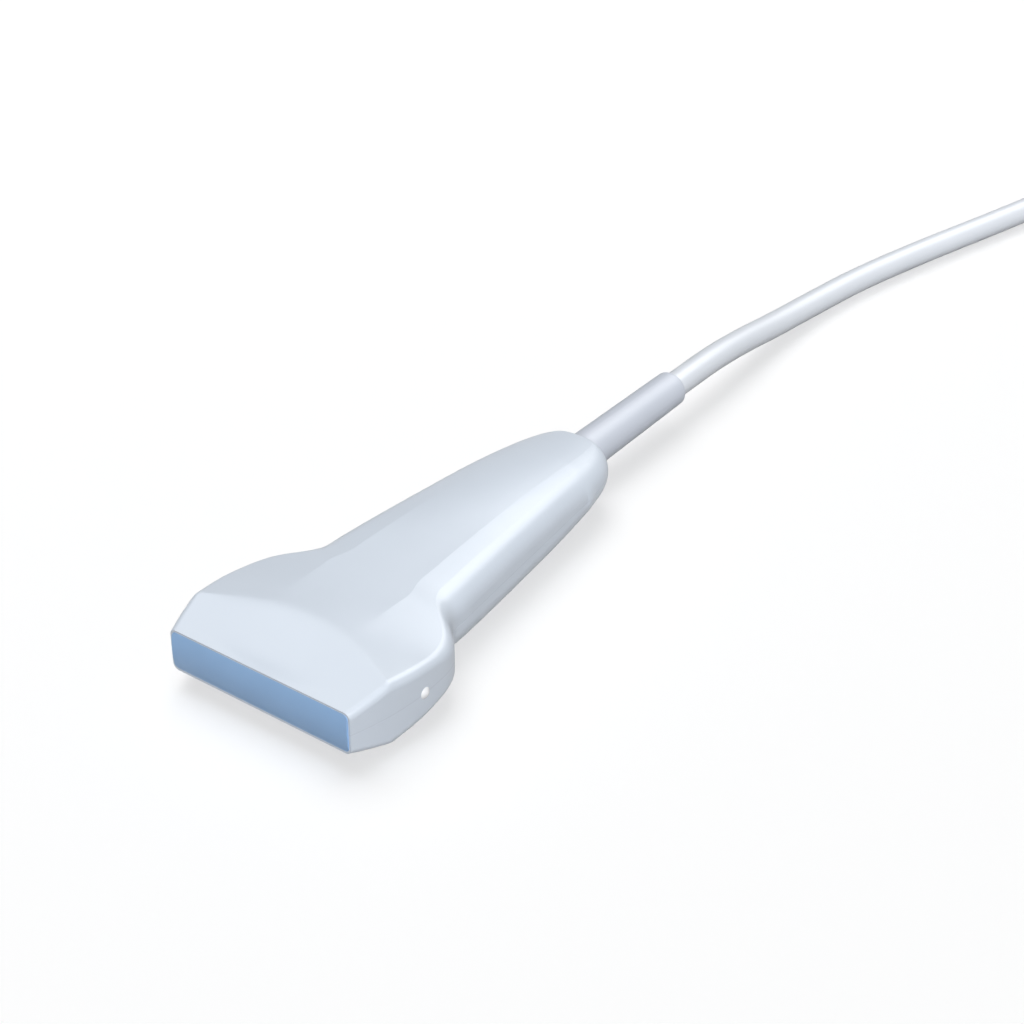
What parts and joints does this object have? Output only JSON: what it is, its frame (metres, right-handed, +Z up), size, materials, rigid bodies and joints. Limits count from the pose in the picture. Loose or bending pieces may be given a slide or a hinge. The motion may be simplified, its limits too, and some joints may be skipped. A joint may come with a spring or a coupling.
{
  "type": "ultrasound transducer probe",
  "caption": "Hand-held linear-array ultrasound transducer with a flared nose, flat acoustic lens, moulded grip, strain relief, folded cable and quarter-turn system connector.",
  "frame": {"origin": "on the table under the middle of the handset, halfway from the lens to the end of its boot", "axes": "+X along the handset from the lens to the cable, +Z up from the table, the orientation marker on the -Y side"},
  "size_m": [0.6435, 0.0538, 0.0344],
  "materials": {
    "housing": "satin moulding",
    "seal": "matt",
    "lens_silicone": "smooth silicone",
    "matching_epoxy": "ground",
    "piezo_ceramic": "diced",
    "backing": "cast",
    "carrier_plastic": "moulded",
    "flex_film": "polyimide film",
    "board_laminate": "coated",
    "socket_plastic": "moulded",
    "wire_insulation": "extruded",
    "plated_brass": "plated",
    "steel": "turned",
    "cable_jacket": "satin",
    "boot_rubber": "satin",
    "marker_plastic": "polished",
    "tie_fabric": "woven",
    "case_plastic": "fine texture",
    "knob_plastic": "satin"
  },
  "bodies": {
    "probe": {"acoustic_lens": "lens_silicone", "array_frame": "carrier_plastic", "backing_block": "backing", "board_spacers": "plated_brass", "braid_ferrule": "plated_brass", "cable_hank": "cable_jacket", "cable_lead": "cable_jacket", "cable_stub": "cable_jacket", "cable_tail": "cable_jacket", "clamp_screws": "steel", "coax_fanout": "wire_insulation", "contact_block": "socket_plastic", "contact_pins": "plated_brass", "hank_tie": "tie_fabric", "inner_matching_layer": "matching_epoxy", "left_seal": "seal", "lower_board": "board_laminate", "lower_clamp": "carrier_plastic", "lower_flex": "flex_film", "lower_flex_socket": "socket_plastic", "lower_shell": "housing", "orientation_marker": "marker_plastic", "outer_matching_layer": "matching_epoxy", "piezo_array": "piezo_ceramic", "plug_base": "case_plastic", "plug_board": "board_laminate", "plug_boot": "boot_rubber", "plug_cover": "case_plastic", "plug_screws": "steel", "plug_shroud": "steel", "plug_stub": "cable_jacket", "plug_wires": "wire_insulation", "right_seal": "seal", "shaft_bush": "plated_brass", "strain_relief_boot": "boot_rubber", "upper_board": "board_laminate", "upper_clamp": "carrier_plastic", "upper_flex": "flex_film", "upper_flex_socket": "socket_plastic", "upper_shell": "housing"},
    "lock": {"lock_shaft": "steel", "lock_cam": "steel", "lock_knob": "knob_plastic"}
  },
  "joints": [
    {"name": "lock_turn", "type": "hinge", "parent": "probe", "child": "lock", "pos_m": [0.5495, -0.006, 0.023], "axis": [0, 0, 1], "range_deg": [0, 90]}
  ]
}
